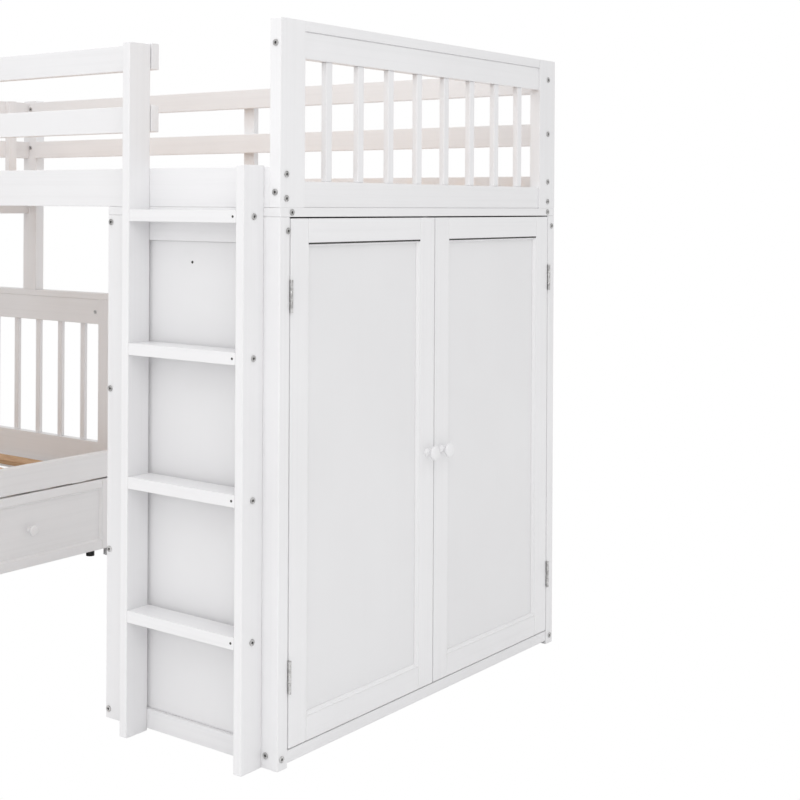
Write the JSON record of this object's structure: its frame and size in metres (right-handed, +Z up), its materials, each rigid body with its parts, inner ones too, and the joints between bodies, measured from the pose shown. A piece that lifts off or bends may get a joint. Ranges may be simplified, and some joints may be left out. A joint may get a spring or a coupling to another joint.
{
  "type": "bunk bed with ladder",
  "caption": "White painted L-shaped bunk bed with a ladder, a wardrobe with hinged doors under the raised bed, and a lower bed with drawers across its end",
  "frame": {"origin": "on the floor under the middle of the whole bed's box", "axes": "+X towards the wardrobe doors, +Y towards the back, +Z up"},
  "size_m": [2.598, 1.994, 1.456],
  "materials": {
    "white_paint": "satin white lacquer over solid wood and panel",
    "bare_wood": "bare planed pine",
    "nickel_steel": "nickel-plated steel",
    "black_plastic": "moulded black plastic"
  },
  "bodies": {
    "frame": {"back_guard_boards": "white_paint", "bolt_heads": "nickel_steel", "fixed_hinge_leaves": "nickel_steel", "footboard_rails": "white_paint", "front_guard_boards": "white_paint", "guard_stiles": "white_paint", "hanging_rod": "nickel_steel", "headboard_balusters": "white_paint", "headboard_rails": "white_paint", "ladder_left_leg": "white_paint", "ladder_right_leg": "white_paint", "ladder_rungs": "white_paint", "left_guard_boards": "white_paint", "left_posts": "white_paint", "lower_posts": "white_paint", "lower_side_legs": "white_paint", "lower_side_rails": "white_paint", "lower_slats": "bare_wood", "right_end_balusters": "white_paint", "right_end_cap": "white_paint", "right_end_posts": "white_paint", "right_end_rails": "white_paint", "rod_sockets": "nickel_steel", "slat_ledgers": "bare_wood", "support_post": "white_paint", "upper_back_rail": "white_paint", "upper_front_rail": "white_paint", "upper_left_end_rail": "white_paint", "upper_slats": "bare_wood", "wardrobe_back_panel": "white_paint", "wardrobe_divider": "white_paint", "wardrobe_far_side_frame": "white_paint", "wardrobe_far_side_panel": "white_paint", "wardrobe_floor_board": "white_paint", "wardrobe_kick_board": "white_paint", "wardrobe_near_side_frame": "white_paint", "wardrobe_near_side_panel": "white_paint", "wardrobe_shelves": "white_paint", "wardrobe_top_board": "white_paint"},
    "drawer_1": {"drawer_1_box": "white_paint", "drawer_1_front": "white_paint", "drawer_1_glides": "black_plastic", "drawer_1_knob": "white_paint"},
    "drawer_2": {"drawer_2_box": "white_paint", "drawer_2_front": "white_paint", "drawer_2_glides": "black_plastic", "drawer_2_knob": "white_paint"},
    "drawer_3": {"drawer_3_box": "white_paint", "drawer_3_front": "white_paint", "drawer_3_glides": "black_plastic", "drawer_3_knob": "white_paint"},
    "far_door": {"far_door_frame": "white_paint", "far_door_hinge_leaves": "nickel_steel", "far_door_knob": "white_paint", "far_door_panel": "white_paint"},
    "near_door": {"near_door_frame": "white_paint", "near_door_hinge_leaves": "nickel_steel", "near_door_knob": "white_paint", "near_door_panel": "white_paint"}
  },
  "joints": [
    {"name": "near_door_hinge", "type": "hinge", "parent": "frame", "child": "near_door", "pos_m": [1.2746, -0.0415, 0.546], "axis": [0, 0, -1], "range_deg": [0, 110]},
    {"name": "far_door_hinge", "type": "hinge", "parent": "frame", "child": "far_door", "pos_m": [1.2746, 0.9655, 0.546], "axis": [0, 0, 1], "range_deg": [0, 110]},
    {"name": "drawer_1_slide", "type": "slide", "parent": "frame", "child": "drawer_1", "axis": [1, 0, 0], "range_m": [0, 0.4]},
    {"name": "drawer_2_slide", "type": "slide", "parent": "frame", "child": "drawer_2", "axis": [1, 0, 0], "range_m": [0, 0.4]},
    {"name": "drawer_3_slide", "type": "slide", "parent": "frame", "child": "drawer_3", "axis": [1, 0, 0], "range_m": [0, 0.4]}
  ]
}
